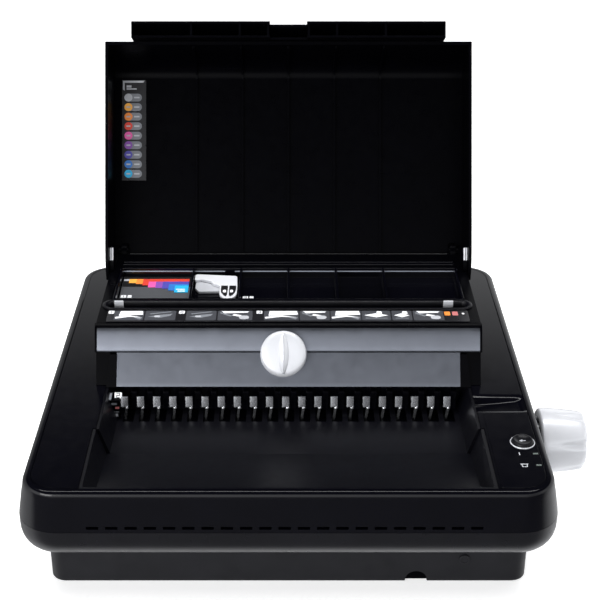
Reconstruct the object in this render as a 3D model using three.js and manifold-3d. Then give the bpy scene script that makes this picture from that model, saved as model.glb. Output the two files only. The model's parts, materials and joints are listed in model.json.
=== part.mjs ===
// Electric comb binding machine with its lid standing open.
// Millimetres, +X right, +Y rear, +Z up. The origin is on the table top, under the middle of the casing.
import * as THREE from 'three';
import { mergeVertices } from 'three/addons/utils/BufferGeometryUtils.js';
import Module from 'manifold-3d';

const wasm = await Module();
wasm.setup();

// ---------------------------------------------------------------- driving dimensions
const gap = 0.3;
const combPitch = 14.2875;
const combTeeth = 21;
const firstHook = -145.3;

const deck = { halfWidth: 212.5, front: -206, rear: 206, top: 110, corner: 28, thickness: 3 };
const seamHeight = 74;
const seamFlare = 3.6;
const casingWall = 2.6;
const casingBottom = 42;
const pan = { halfWidth: 199, front: -178, rear: 190, bottom: 3, wall: 2.6, corner: 12 };

const well = { frontHalf: 165.2, rearHalf: 162.5, front: -200.5, jog: -112, rear: 192 };
const table = { front: -200.2, crease: -113, rear: -28, frontTop: 97, rearTop: 85, thickness: 3 };
const slot = { left: -2, right: 7.6, front: -62.5, rear: -35.5 };
const hook = { top: 105, headBottom: 96, front: -55, rear: -53, carriageTop: 80 };

const block = { halfWidth: 171.5, rearHalf: 168, narrowFrom: 88, rear: 128, top: 160, wall: 3 };
const slope = { angle: 63, front: -46, seam: 31.7, top: 57.5 };
const slopeLean = Math.tan(THREE.MathUtils.degToRad(90 - slope.angle));
const throat = { left: -170, right: 168, front: 7, rear: 27 };
const trayWell = { halfWidth: 162.4, front: 30.3, rear: 96.7, floor: 150, bottom: 147 };
const ribPlaces = [-91.4, -45.7, 0, 45.7, 91.4];

const hinge = { y: 134, z: 160 };
const lidOpening = 117;
const lid = { halfWidth: 175.4, wall: 2.8, panelIn: 5, ribTop: 2.4, lipHalf: 148.5 };

const opener = { y: -75.5, z: 74, shaftRadius: 4, pinionRadius: 12, pinionTeeth: 16 };
const depthKnob = { x: -4.5, along: 30.3, radius: 20.5 };
const punchLevel = 102.5;
const cam = { y: 72.5, z: 102, gearRadius: 30, gearTeeth: 40, module: 1.5 };
const motorY = cam.y + cam.gearRadius + 7.5;

const panel = { left: 167.4, right: 205.6, front: -199.1, rear: -90, corner: 5 };
const button = { x: 194, y: -134 };
const lights = { x: 202, places: [-151, -167.5] };
const roundCap = { x: 146, z: 24, radius: 4.6 };
const screwPlaces = [[-182, -150], [182, -150], [-182, 160], [182, 160]];
const footPlaces = [[-165, -120], [165, -120], [-165, 130], [165, 130]];

// ---------------------------------------------------------------- geometry helpers
function solidOf(geometry) {
  const bare = geometry.clone();
  bare.deleteAttribute('normal');
  bare.deleteAttribute('uv');
  const merged = mergeVertices(bare, 1e-4);
  return new wasm.Manifold(new wasm.Mesh({
    numProp: 3,
    vertProperties: new Float32Array(merged.attributes.position.array),
    triVerts: new Uint32Array(merged.index.array),
  }));
}

function geometryOf(solid) {
  const mesh = solid.getMesh();
  const geometry = new THREE.BufferGeometry();
  geometry.setAttribute('position', new THREE.BufferAttribute(mesh.vertProperties, 3));
  geometry.setIndex(new THREE.BufferAttribute(mesh.triVerts, 1));
  geometry.computeVertexNormals();
  return geometry;
}

const cut = (base, ...tools) => tools.reduce((left, tool) => left.subtract(tool), base);
const join = (base, ...others) => others.reduce((whole, other) => whole.add(other), base);

function box(x0, x1, y0, y1, z0, z1) {
  const geometry = new THREE.BoxGeometry(x1 - x0, y1 - y0, z1 - z0);
  geometry.translate((x0 + x1) / 2, (y0 + y1) / 2, (z0 + z1) / 2);
  return solidOf(geometry);
}

// Extrudes an outline of [a, b] points: (y, z) along X, (x, z) along Y, or (x, y) along Z.
function prism(direction, outline, from, to) {
  const shape = new THREE.Shape(outline.map(([a, b]) => new THREE.Vector2(a, b)));
  const geometry = new THREE.ExtrudeGeometry(shape, { depth: to - from, bevelEnabled: false });
  const right = new THREE.Vector3(1, 0, 0);
  const front = new THREE.Vector3(0, 1, 0);
  const up = new THREE.Vector3(0, 0, 1);
  const turn = new THREE.Matrix4();
  if (direction === 'x') {
    turn.makeBasis(front, up, right).setPosition(from, 0, 0);
  } else if (direction === 'y') {
    turn.makeBasis(right, up, front.clone().negate()).setPosition(0, to, 0);
  } else {
    turn.makeTranslation(0, 0, from);
  }
  geometry.applyMatrix4(turn);
  return solidOf(geometry);
}

// A round bar from one place to another along X, Y or Z; a and b are its centre in the other two axes.
function rod(direction, radius, from, to, a, b, sides = 20) {
  const geometry = new THREE.CylinderGeometry(radius, radius, to - from, sides);
  const middle = (from + to) / 2;
  if (direction === 'x') {
    geometry.rotateZ(Math.PI / 2).translate(middle, a, b);
  } else if (direction === 'y') {
    geometry.translate(a, middle, b);
  } else {
    geometry.rotateX(Math.PI / 2).translate(a, b, middle);
  }
  return solidOf(geometry);
}

// A turned part about Z from a closed profile of [radius, height] points that starts and ends on the axis.
function turned(profile, sides = 32) {
  const points = profile.map(([radius, height]) => new THREE.Vector2(radius, height));
  const geometry = new THREE.LatheGeometry(points, sides);
  geometry.rotateX(Math.PI / 2);
  return solidOf(geometry);
}

// A rounded rectangle seen from above, as a list of [x, y] points.
function roundedPlan(x0, x1, y0, y1, radius, segments = 6) {
  const outline = new THREE.Shape();
  outline.moveTo(x1, y0 + radius);
  outline.lineTo(x1, y1 - radius).absarc(x1 - radius, y1 - radius, radius, 0, Math.PI / 2);
  outline.lineTo(x0 + radius, y1).absarc(x0 + radius, y1 - radius, radius, Math.PI / 2, Math.PI);
  outline.lineTo(x0, y0 + radius).absarc(x0 + radius, y0 + radius, radius, Math.PI, 1.5 * Math.PI);
  outline.lineTo(x1 - radius, y0).absarc(x1 - radius, y0 + radius, radius, 1.5 * Math.PI, 2 * Math.PI);
  const points = outline.getPoints(segments);
  const unique = points.filter((point, i) => point.distanceTo(points[(i + 1) % points.length]) > 1e-6);
  return unique.map((point) => [point.x, point.y]);
}

// Joins rings of points, all with the same count, into one closed skin with a cap at each end.
function loft(rings) {
  const count = rings[0].length;
  const faces = [];
  for (let level = 0; level < rings.length - 1; level += 1) {
    for (let i = 0; i < count; i += 1) {
      const next = (i + 1) % count;
      const [a, b] = [level * count + i, level * count + next];
      faces.push(a, b, b + count, a, b + count, a + count);
    }
  }
  const last = (rings.length - 1) * count;
  for (let i = 1; i < count - 1; i += 1) {
    faces.push(0, i + 1, i, last, last + i, last + i + 1);
  }
  const geometry = new THREE.BufferGeometry();
  geometry.setAttribute('position', new THREE.Float32BufferAttribute(rings.flat(2), 3));
  geometry.setIndex(faces);
  return solidOf(geometry);
}

// A casing ring at height z, moved in from the deck's outline by side, front and rear distances.
function casingRing(z, side, front = side, rear = side) {
  const radius = deck.corner - Math.min(side, front);
  const plan = roundedPlan(
    -deck.halfWidth + side, deck.halfWidth - side, deck.front + front, deck.rear - rear, radius,
  );
  return plan.map(([x, y]) => [x, y, z]);
}

function panRing(z, inset) {
  const plan = roundedPlan(
    -pan.halfWidth + inset, pan.halfWidth - inset, pan.front + inset, pan.rear - inset, pan.corner, 4,
  );
  return plan.map(([x, y]) => [x, y, z]);
}

// A six-sided solid with a straight top at height top and a bottom that may slope from front to rear.
function channel(y0, y1, zFront, zRear, bottomHalf, topHalf, top) {
  return loft([
    [[-bottomHalf, y0, zFront], [bottomHalf, y0, zFront], [bottomHalf, y1, zRear], [-bottomHalf, y1, zRear]],
    [[-topHalf, y0, top], [topHalf, y0, top], [topHalf, y1, top], [-topHalf, y1, top]],
  ]);
}

function eachTooth(make) {
  return Array.from({ length: combTeeth }, (unused, i) => make(firstHook + i * combPitch));
}

// Straight-flanked gear teeth about the origin, as an outline of [a, b] points.
function gearOutline(teeth, module, phase = 0) {
  const pitchRadius = teeth * module / 2;
  const rootRadius = pitchRadius - 1.1 * module;
  const tipRadius = pitchRadius + 0.8 * module;
  const halfAtPitch = Math.PI * module / 4 - 0.2;
  const lean = Math.tan(THREE.MathUtils.degToRad(20));
  const halfRoot = (halfAtPitch + 1.1 * module * lean) / rootRadius;
  const halfTip = (halfAtPitch - 0.8 * module * lean) / tipRadius;
  const outline = [];
  for (let i = 0; i < teeth; i += 1) {
    const middle = phase + i * 2 * Math.PI / teeth;
    const corners = [
      [rootRadius, -halfRoot], [tipRadius, -halfTip], [tipRadius, halfTip], [rootRadius, halfRoot],
    ];
    for (const [radius, turn] of corners) {
      outline.push([radius * Math.cos(middle + turn), radius * Math.sin(middle + turn)]);
    }
  }
  return outline;
}

// ---------------------------------------------------------------- materials
function finish(color, roughness, metalness = 0) {
  return new THREE.MeshStandardMaterial({ color, roughness, metalness });
}
const blackSatin = finish(0x17171a, 0.38);
const blackMatt = finish(0x121214, 0.5);
const blackGloss = finish(0x121215, 0.22);
const darkGrey = finish(0x2b2b2f, 0.5);
const panGrey = finish(0x3a3a3d, 0.65);
const graphite = finish(0x5b5c60, 0.4, 0.3);
const silver = finish(0xc4c5c8, 0.3, 0.7);
const steel = finish(0xb5b7ba, 0.35, 0.9);
const rubber = finish(0x1c1c1c, 0.9);
const paleGrey = finish(0xb9babd, 0.5);
const boardGreen = finish(0x2c6b3f, 0.6);
const lampGreen = finish(0x7fd08a, 0.3);
const print = finish(0x3d3e42, 0.55);
const chartPrint = finish(0xb3b4b6, 0.55);

const machine = new THREE.Group();
const lidGroup = new THREE.Group();
lidGroup.position.set(0, hinge.y, hinge.z);
lidGroup.rotation.x = -THREE.MathUtils.degToRad(lidOpening);
const slopeGroup = new THREE.Group();
slopeGroup.position.set(0, slope.front, deck.top);
slopeGroup.rotation.x = THREE.MathUtils.degToRad(slope.angle);
machine.add(lidGroup, slopeGroup);

function add(name, solid, material, group = machine) {
  const mesh = new THREE.Mesh(geometryOf(solid), material);
  mesh.name = name;
  group.add(mesh);
  return mesh;
}

// ---------------------------------------------------------------- casings
function upperCasing() {
  const outside = loft([
    casingRing(seamHeight + gap, -seamFlare), casingRing(92, -2), casingRing(104, -0.6),
    casingRing(107.6, 0.2), casingRing(109.3, 1.4), casingRing(deck.top, 3.2),
  ]);
  const inside = loft([
    casingRing(seamHeight - 1, casingWall - seamFlare), casingRing(92, casingWall - 2),
    casingRing(deck.top - deck.thickness - 0.2, casingWall + 0.4),
  ]);
  const grooveBoss = box(160, 211, -92, -52, 99, deck.top);
  const opening = join(
    box(-well.frontHalf, well.frontHalf, well.front, well.jog, 90, 120),
    box(-well.rearHalf, well.rearHalf, well.jog - 1, well.rear, 90, 120),
  );
  const groove = prism('y', [[162, 103.5], [201, 107.2], [206, 110.5], [206, 112], [162, 112]], -84, -62);
  const panelPocket = box(
    panel.left - gap, panel.right + gap, panel.front - gap, panel.rear + gap, 108.2, 112,
  );
  const vents = Array.from({ length: combTeeth }, (unused, i) => {
    const x = -155 + i * 15.2;
    return box(x - 4.85, x + 4.85, -216, -198, 77.2, 79.8);
  });
  const shaftHole = rod('x', 7, 205, 222, opener.y, opener.z, 16);
  const buttonHole = rod('z', 9.4, 100, 112, button.x, button.y, 24);
  const lightHoles = lights.places.map((y) => (
    box(lights.x - 2.6, lights.x + 2.6, y - 1.2, y + 1.2, 100, 112)
  ));
  const shell = cut(outside, cut(inside, grooveBoss), opening, groove, panelPocket);
  return cut(shell, ...vents, shaftHole, buttonHole, ...lightHoles);
}

// The quarter-round bottom edge runs in 13.5 mm at the sides and rear and 27 mm at the front.
function lowerCasingRings(shrink) {
  const rings = [casingRing(shrink ? seamHeight + 1 : seamHeight, shrink - seamFlare)];
  for (const degrees of [0, 22.5, 45, 67.5, 90]) {
    const angle = THREE.MathUtils.degToRad(degrees);
    const side = 13.5 * (1 - Math.cos(angle)) - seamFlare + shrink;
    const front = 27 * (1 - Math.cos(angle)) - seamFlare + shrink;
    const floor = casingBottom + (shrink ? casingWall : 0);
    rings.push(casingRing(floor + (66 - floor) * (1 - Math.sin(angle)), side, front));
  }
  return rings.reverse();
}

function lowerCasing() {
  const outside = loft(lowerCasingRings(0));
  const inside = loft(lowerCasingRings(casingWall));
  const bottomOpening = box(-178, 178, -155, 165, 30, 60);
  const shaftHole = rod('x', 7, 205, 222, opener.y, opener.z, 16);
  return cut(outside, inside, bottomOpening, shaftHole);
}

function basePan() {
  const shell = loft([
    panRing(pan.bottom, 7), panRing(5.5, 2.4), panRing(11, 0), panRing(casingBottom - gap, 0),
  ]);
  const cap = rod('y', roundCap.radius, pan.front - 1.8, pan.front + 1, roundCap.x, roundCap.z, 20);
  const outside = join(shell, cap);
  const inside = loft([
    panRing(pan.bottom + pan.wall, 7), panRing(12, pan.wall), panRing(50, pan.wall),
  ]);
  const frontArch = rod('y', 6.8, -190, -170, 102, pan.bottom, 20);
  const trayDoor = box(-205, -190, -43, 63, 7, 39);
  const screwHoles = screwPlaces.map(([x, y]) => rod('z', 2.4, 0, 8, x, y, 12));
  return cut(outside, inside, frontArch, trayDoor, ...screwHoles);
}

function baseScrew() {
  return join(rod('z', 4.2, 0.9, pan.bottom - gap, 0, 0, 12), rod('z', 2, pan.bottom - 1, 12, 0, 0, 10));
}

function rearCover() {
  const profile = (inset, bottom) => [
    [131 + inset, bottom], [202 - inset, bottom], [202 - inset, 140 - inset], [198 - inset, 145 - inset],
    [192 - inset, 147 - inset], [136 + inset, 147 - inset], [131 + inset, 142 - inset],
  ];
  const outside = prism('x', profile(0, deck.top + gap), -166, 166);
  const inside = prism('x', profile(2.6, 100), -163.4, 163.4);
  const inletHole = box(-151, -123, 190, 210, 116, 138);
  const switchHole = box(-113, -91, 190, 210, 118.4, 135.6);
  const vents = [20, 40, 60, 80, 100, 120, 140].map((x) => box(x, x + 12, 190, 210, 122, 126));
  return cut(outside, inside, inletHole, switchHole, ...vents);
}

// ---------------------------------------------------------------- binding table and combs
function bindingTable() {
  const t = table.thickness;
  const outside = join(
    channel(table.front, table.crease, table.frontTop - t, table.rearTop - t, 158, 164.8, 109.6),
    channel(table.crease - 0.5, table.rear, table.rearTop - t, table.rearTop - t, 155, 162.1, 109.6),
  );
  const inside = join(
    channel(table.front + 2.4, table.crease, table.frontTop, table.rearTop, 155, 162.8, 111),
    channel(table.crease - 0.5, table.rear - 2.4, table.rearTop, table.rearTop, 152, 160.4, 111),
  );
  const slots = eachTooth((x) => box(x + slot.left, x + slot.right, slot.front, slot.rear, 80, 87));
  return cut(outside, inside, ...slots);
}

function combFingers() {
  const bar = box(-151, 151, -35, -31, 85.3, 106);
  const fingers = eachTooth((x) => box(x + 4.5, x + 9.8, -43, -34.5, 85.3, 104));
  return join(bar, ...fingers);
}

// The hooks stand on one plate under the table; each has a square head turned to the left and a low arm
// in front.
function hookPlate() {
  const plate = box(-180, 180, -56, -32, 77.5, hook.carriageTop);
  const outline = (x) => [
    [x - 1.5, hook.carriageTop - 1], [x + 1.5, hook.carriageTop - 1], [x + 1.5, 86], [x + 3.5, 97],
    [x + 3.5, hook.top], [x - 3.5, hook.top], [x - 3.5, hook.headBottom], [x + 0.6, hook.headBottom],
    [x - 1.5, 86],
  ];
  const hooks = eachTooth((x) => prism('y', outline(x), hook.front, hook.rear));
  const arms = eachTooth((x) => box(x - 1.5, x + 1.5, -60, hook.front + 0.5, 81.5, 85.6));
  return join(plate, ...hooks, ...arms);
}

function rack(x0, x1) {
  const module = 2 * opener.pinionRadius / opener.pinionTeeth;
  const pitchLine = opener.z + opener.pinionRadius;
  const pitch = Math.PI * module;
  const half = pitch / 4 - 0.2;
  const lean = Math.tan(THREE.MathUtils.degToRad(20));
  const root = pitchLine + 1.15 * module;
  const tip = pitchLine - 0.8 * module;
  const body = prism('x', [[-101, root], [-40, root], [-40, 94], [-101, 94]], x0, x1);
  const leg = box(x0, x1, -52, -40, hook.carriageTop + gap, 94);
  const teeth = [];
  for (let i = -5; i <= 2; i += 1) {
    const y = opener.y + (i + 0.5) * pitch;
    const outline = [
      [y - half - 1.15 * module * lean, root + 0.2], [y - half + 0.8 * module * lean, tip],
      [y + half - 0.8 * module * lean, tip], [y + half + 1.15 * module * lean, root + 0.2],
    ];
    teeth.push(prism('x', outline, x0, x1));
  }
  return join(body, leg, ...teeth);
}

function pinion(x0, x1) {
  const module = 2 * opener.pinionRadius / opener.pinionTeeth;
  const teeth = gearOutline(opener.pinionTeeth, module, Math.PI / 2);
  const outline = teeth.map(([a, b]) => [opener.y + a, opener.z + b]);
  const bore = rod('x', opener.shaftRadius + gap, x0 - 1, x1 + 1, opener.y, opener.z, 16);
  return cut(prism('x', outline, x0, x1), bore);
}

// A tapering hand wheel with six soft lobes; it grows along X from the casing outwards.
function openerKnob() {
  const sides = 48;
  const levels = [[219, 26], [220.5, 28.4], [238, 27.4], [255, 25.6], [258, 24], [258.7, 21.5]];
  const rings = levels.map(([x, radius]) => Array.from({ length: sides }, (unused, i) => {
    const angle = i * 2 * Math.PI / sides;
    const lobed = radius + 1.2 * Math.cos(6 * angle);
    return [x, opener.y + lobed * Math.cos(angle), opener.z + lobed * Math.sin(angle)];
  }));
  const bore = rod('x', opener.shaftRadius + gap, 210, 240, opener.y, opener.z, 16);
  return cut(loft(rings), bore);
}

function knobCollar() {
  const ring = rod('x', 22, 216.6, 218.6, opener.y, opener.z, 28);
  return cut(ring, rod('x', 6, 210, 222, opener.y, opener.z, 20));
}

// ---------------------------------------------------------------- punch housing
function slopeY(z, offset) {
  return slope.front + (z - deck.top) * slopeLean + offset / Math.cos(Math.atan(slopeLean));
}

function housingProfile(offset, bottom, top, rear) {
  return [[slopeY(bottom, offset), bottom], [rear, bottom], [rear, top], [slopeY(top, offset), top]];
}

function punchHousing() {
  const low = deck.top + gap;
  const cheekTop = deck.top + slope.seam * Math.sin(THREE.MathUtils.degToRad(slope.angle)) - 1.8;
  const cheekSide = [
    [slopeY(low, 0), low], [slopeY(low, 5), low],
    [slopeY(cheekTop, 5), cheekTop], [slopeY(cheekTop, 0), cheekTop],
  ];
  const cheek = (side) => {
    const outside = [[side * 162.3, low], [side * 158.6, cheekTop + 0.1], [side * 162.3, cheekTop + 0.1]];
    const plate = prism('x', cheekSide, side > 0 ? 153.3 : -162.2, side > 0 ? 162.2 : -153.3);
    return cut(plate, prism('y', outside, slope.front - 5, slope.front + 30));
  };
  const outside = join(
    prism('x', housingProfile(3.4, low, block.top, block.narrowFrom), -block.halfWidth, block.halfWidth),
    box(-block.rearHalf, block.rearHalf, 20, block.rear, low, block.top),
    cheek(-1),
    cheek(1),
  );
  const w = block.wall;
  const inside = join(
    prism(
      'x', housingProfile(3.4 + w, 100, block.top - w, block.narrowFrom - w),
      w - block.halfWidth, block.halfWidth - w,
    ),
    box(w - block.rearHalf, block.rearHalf - w, 20, block.rear - w, 100, block.top - w),
  );
  const throatHole = prism('z', roundedPlan(-167.5, 165.5, 10, 24, 6.9), 150, 165);
  const trayHole = box(-162.8, 162.8, 30, 97, 145, 165);
  const ears = [-165.2, 160].map((x) => {
    const foot = box(x, x + 5.2, block.rear - 2, hinge.y, hinge.z - 7.5, hinge.z);
    return join(foot, rod('x', 7.5, x, x + 5.2, hinge.y, hinge.z, 20));
  });
  const pinHoles = [-170, 155].map((x) => rod('x', 4.3, x, x + 15, hinge.y, hinge.z, 16));
  const body = cut(outside, inside, throatHole, trayHole);
  return cut(join(body, ...ears), ...pinHoles, knobSpindleTool(5));
}

// A round bar on the depth knob's axis, in the machine's own axes, for cutting clearance holes.
function knobSpindleTool(radius) {
  const geometry = new THREE.CylinderGeometry(radius, radius, 60, 20);
  geometry.rotateX(Math.PI / 2).translate(depthKnob.x, depthKnob.along, 0);
  geometry.rotateX(slopeGroup.rotation.x).translate(0, slope.front, deck.top);
  return solidOf(geometry);
}

const slopeHole = () => rod('z', 5, -20, 20, depthKnob.x, depthKnob.along, 20);

function hoodPanel() {
  return cut(box(-153, 153, 0.8, slope.seam - gap, -3, 0), slopeHole());
}

function hoodLip() {
  const crown = [
    [slope.seam, -3], [slope.top, -3], [slope.top, -1.4], [slope.top - 1.2, 0], [slope.top - 4, 0.8],
    [slope.seam + 5, 0.8], [slope.seam + 1, 0.2], [slope.seam, -0.6],
  ];
  return cut(prism('x', crown, -172.2, 172.2), slopeHole());
}

function throatRim() {
  const plan = (inset, radius) => roundedPlan(
    throat.left + inset, throat.right - inset, throat.front + inset, throat.rear - inset, radius,
  );
  const flange = prism('z', plan(0, 9.8), block.top + gap, 161.3);
  const neck = prism('z', plan(3.2, 6.5), 148, 160.6);
  return cut(join(flange, neck), prism('z', plan(4.7, 5), 140, 170));
}

function storageTray() {
  const half = trayWell.halfWidth;
  const outside = box(-half, half, trayWell.front, trayWell.rear, trayWell.bottom, block.top);
  const edges = [-161, ...ribPlaces, 161];
  const cells = edges.slice(1).map((right, i) => (
    box(edges[i] + 1, right - 1, trayWell.front + 1.4, trayWell.rear - 1.4, trayWell.floor, 170)
  ));
  return cut(outside, ...cells);
}

function edgeGuideTool() {
  const plate = box(-89.5, -49, 37, 88, trayWell.floor + gap, 156);
  const slots = [box(-60, -54.5, 34, 60, 150, 160), box(-70, -64.5, 34, 60, 150, 160)];
  return cut(plate, ...slots);
}

// ---------------------------------------------------------------- punch mechanism
function pinPlate(y0, y1) {
  const holes = eachTooth((x) => box(x - 4.1, x + 4.1, y0 - 1, y1 + 1, punchLevel - 1.8, punchLevel + 1.8));
  return cut(box(-158, 158, y0, y1, 94, 146), ...holes);
}

function punchBar() {
  const pins = eachTooth((x) => box(x - 3.8, x + 3.8, 20.5, 43, punchLevel - 1.5, punchLevel + 1.5));
  return join(box(-152, 147, 41.8, 52, 96, 109), ...pins);
}

function framePlate(x0, x1) {
  const plate = prism('x', [[0, 45], [130, 45], [130, 100], [100, 145.8], [0, 145.8]], x0, x1);
  return cut(plate, rod('x', 6.5, x0 - 1, x1 + 1, cam.y, cam.z, 20));
}

function camShaft() {
  const lobe = (x) => rod('x', 13, x, x + 10, cam.y + 7, cam.z, 16);
  return join(rod('x', 6, -162, 162, cam.y, cam.z, 16), lobe(-110), lobe(-5), lobe(95));
}

function camGear() {
  const outline = gearOutline(cam.gearTeeth, cam.module).map(([a, b]) => [cam.y + a, cam.z + b]);
  return cut(prism('x', outline, 150.5, 157), rod('x', 6 + gap, 149, 159, cam.y, cam.z, 20));
}

function motorPinion() {
  const teeth = 10;
  const wheel = gearOutline(teeth, cam.module, Math.PI + Math.PI / teeth);
  const outline = wheel.map(([a, b]) => [motorY + a, cam.z + b]);
  return cut(prism('x', outline, 150.5, 157), rod('x', 2.5 + gap, 149, 159, motorY, cam.z, 12));
}

function motor() {
  return join(
    rod('x', 22, 74, 144, motorY + 6, cam.z - 22, 24),
    box(144, 148, motorY - 12, motorY + 14, cam.z - 40, cam.z + 10),
    rod('x', 2.5, 146, 157, motorY, cam.z, 12),
  );
}

function depthStop() {
  return box(-155, 155, 15, 19, 86, 92);
}

function depthKnobBody() {
  const radius = depthKnob.radius;
  const disc = turned([
    [0, 1.6], [radius - 1, 1.6], [radius, 2.6], [radius, 8], [radius - 1.6, 10], [0, 10],
  ]);
  const gripSide = [[-18.5, 9], [18.5, 9], [17, 12.4], [10, 14.2], [-10, 14.2], [-17, 12.4]];
  return join(disc, prism('x', gripSide, -3.2, 3.2), rod('z', 4.4, -14, 2, 0, 0, 16));
}

// ---------------------------------------------------------------- lid, drawn closed about the hinge
// Side views of the lid are drawn as [forward, up] from the hinge axis.
const forward = (points) => points.map(([ahead, up]) => [-ahead, up]);

function lidSides() {
  const rearArc = [0, 12, 24, 36].map((degrees) => {
    const angle = THREE.MathUtils.degToRad(degrees);
    return [-49.5 * Math.sin(angle), -49.5 * Math.cos(angle)];
  });
  return [
    [199, -49.5], [193, -18], [188.5, -3], [185, 2.5], [180, 6.3], [174, 8], [-2, 8], [-9, 6], [-13, 1],
    ...rearArc.reverse(),
  ];
}

function lidShell() {
  const outside = prism('x', forward(lidSides()), -lid.halfWidth, lid.halfWidth);
  const inner = [
    [196.2, -52], [190, -18], [185.5, -3.5], [182, 1], [178, 3.7], [172, lid.panelIn], [-2, lid.panelIn],
    [-2, 12], [-70, 12], [-70, -60], [196.2, -60],
  ];
  const innerHalf = lid.halfWidth - lid.wall;
  const inside = prism('x', forward(inner), -innerHalf, innerHalf);
  const earNotches = [-165.7, 159.5].map((x) => box(x, x + 6.2, -8.4, 8.4, -4, 12));
  const leafNotches = [-172.6, 168].map((x) => box(x, x + 4.6, -6.2, 6.2, -4, 5.9));
  return join(cut(outside, inside, ...earNotches, ...leafNotches), ...lidRibs());
}

// Low ribs run over the panel and on down the inside of the front wall.
function lidRibs() {
  const side = [
    [0, 6], [175, 6], [184, 2.2], [189, -4], [193, -18], [197.5, -46], [193, -46], [187, -18], [182.8, -4.6],
    [179.6, -1], [176, 1.4], [171, lid.ribTop], [0, lid.ribTop],
  ];
  return ribPlaces.map((x) => prism('x', forward(side), x - 1, x + 1));
}

// The grip along the lid's front edge, open below in shallow cells, with a finger notch in the middle.
function lidLip() {
  const bar = prism('x', forward([
    [214.9, -66], [211.5, -48], [205, -27], [197, -9], [189, 2.5], [181.5, 7.4], [180.9, 6.4], [185.4, 2.9],
    [189, -2.8], [193.4, -18], [199.4, -49.5], [199.4, -66],
  ]), -lid.lipHalf, lid.lipHalf);
  const webs = [-lid.lipHalf, -92, -46, -19.3, 19.3, 46, 92, lid.lipHalf];
  const cells = webs.slice(1).map((right, i) => box(webs[i] + 1, right - 1, -212.5, -201.8, -68, -62.6));
  return cut(bar, ...cells, box(-17.5, 17.5, -220, -190, -68, -57));
}

function hingeLeaf(x0, x1) {
  const arm = prism('x', [[-5.5, 0], [5.5, 0], [9.5, -36], [-1.5, -36]], x0, x1);
  const ends = [rod('x', 5.5, x0, x1, 0, 0, 20), rod('x', 5.5, x0, x1, 4, -36, 20)];
  return cut(join(arm, ...ends), rod('x', 4.35, x0 - 1, x1 + 1, 0, 0, 16));
}

// ---------------------------------------------------------------- electrics, tray and small pieces
function controlPanel() {
  const plan = roundedPlan(panel.left, panel.right, panel.front, panel.rear, panel.corner);
  const plate = prism('z', plan, 108.5, deck.top);
  const ring = rod('z', 10.4, 109, 110.9, button.x, button.y, 28);
  const buttonHole = rod('z', 9.3, 105, 112, button.x, button.y, 28);
  const windows = lights.places.map((y) => box(lights.x - 2.4, lights.x + 2.4, y - 1, y + 1, 105, 112));
  return cut(join(plate, ring), buttonHole, ...windows);
}

function punchButton() {
  return turned([
    [0, 96.8], [2.5, 96.8], [2.5, 105], [8.8, 105], [8.8, 112.4], [8, 113.2], [5, 112.6], [0, 112.2],
  ], 28);
}

// One clear moulding carries both lights: two windows on a bar under the deck.
function lightGuide() {
  const windows = lights.places.map((y) => box(lights.x - 2.1, lights.x + 2.1, y - 0.8, y + 0.8, 103, 110.4));
  const bar = box(lights.x - 1.6, lights.x + 1.6, -168.3, -150.2, 103, 104.6);
  return join(bar, ...windows);
}

function controlBoard() {
  const board = box(170, 208, -182, -112, 88, 89.6);
  const tactSwitch = box(191, 197, -137, -131, 89, 94.4);
  const lampPosts = lights.places.map((y) => box(lights.x - 1.5, lights.x + 1.5, y - 1, y + 1, 89, 102.6));
  return join(board, tactSwitch, ...lampPosts);
}

function circuitBoard() {
  const board = box(-150, -30, 134, 184, 60, 61.6);
  const relay = box(-140, -115, 140, 160, 61, 78);
  const capacitor = rod('z', 8, 61, 86, -90, 160, 16);
  const chip = box(-70, -50, 145, 160, 61, 65);
  return join(board, relay, capacitor, chip);
}

function powerSupply() {
  return join(box(-10, 60, 134, 184, 46, 86), box(4, 46, 130, 188, 52, 80));
}

function powerInlet() {
  const body = box(-150.5, -123.5, 186, 203.5, 116.5, 137.5);
  const socket = box(-147.5, -126.5, 190, 206, 119.5, 134.5);
  const pinPlaces = [[-143, 126], [-137, 129], [-131, 126]];
  const pins = pinPlaces.map(([x, z]) => box(x - 1, x + 1, 188, 197.5, z - 2.5, z + 2.5));
  return join(cut(body, socket), ...pins);
}

function rockerSwitch() {
  return prism('x', [
    [194, 120.8], [203, 120.8], [206.5, 122], [203.4, 127], [203.4, 127.6], [205, 133.2], [194, 133.2],
  ], -111.5, -92.5);
}

function chipTray() {
  const tub = cut(box(-196, 130, -40, 60, 7.6, 37), box(-193.5, 127.5, -37.5, 57.5, 10, 40));
  const face = box(-199, -195.5, -42.6, 62.6, 7.4, 38.6);
  const scoop = rod('x', 9, -205, -190, 10, 38.6, 20);
  return cut(join(tub, face), scoop);
}

// ---------------------------------------------------------------- assembly
add('upper_casing', upperCasing(), blackSatin);
add('lower_casing', lowerCasing(), darkGrey);
add('base_pan', basePan(), panGrey);
add('rear_cover', rearCover(), darkGrey);
add('control_panel', controlPanel(), blackSatin);
add('binding_table', bindingTable(), blackGloss);
add('comb_fingers', combFingers(), blackSatin);
add('punch_housing', punchHousing(), blackMatt);
add('hood_panel', hoodPanel(), graphite, slopeGroup);
add('hood_lip', hoodLip(), graphite, slopeGroup);
add('throat_rim', throatRim(), blackGloss);
add('slot_pad_left', box(-159.6, -151.2, 20.2, 21.8, 152, 162.6), silver);
add('slot_pad_right', box(142, 151, 20.2, 21.8, 152, 162.6), silver);
add('instruction_strip', box(-163, 162, -15.6, 5, block.top + gap, block.top + 0.9), print);
add('storage_tray', storageTray(), blackSatin);
add('size_chart', box(-159.2, -93.2, 32.5, 94.5, trayWell.floor + gap, 151.3), chartPrint);
add('edge_guide_tool', edgeGuideTool(), paleGrey);

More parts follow.
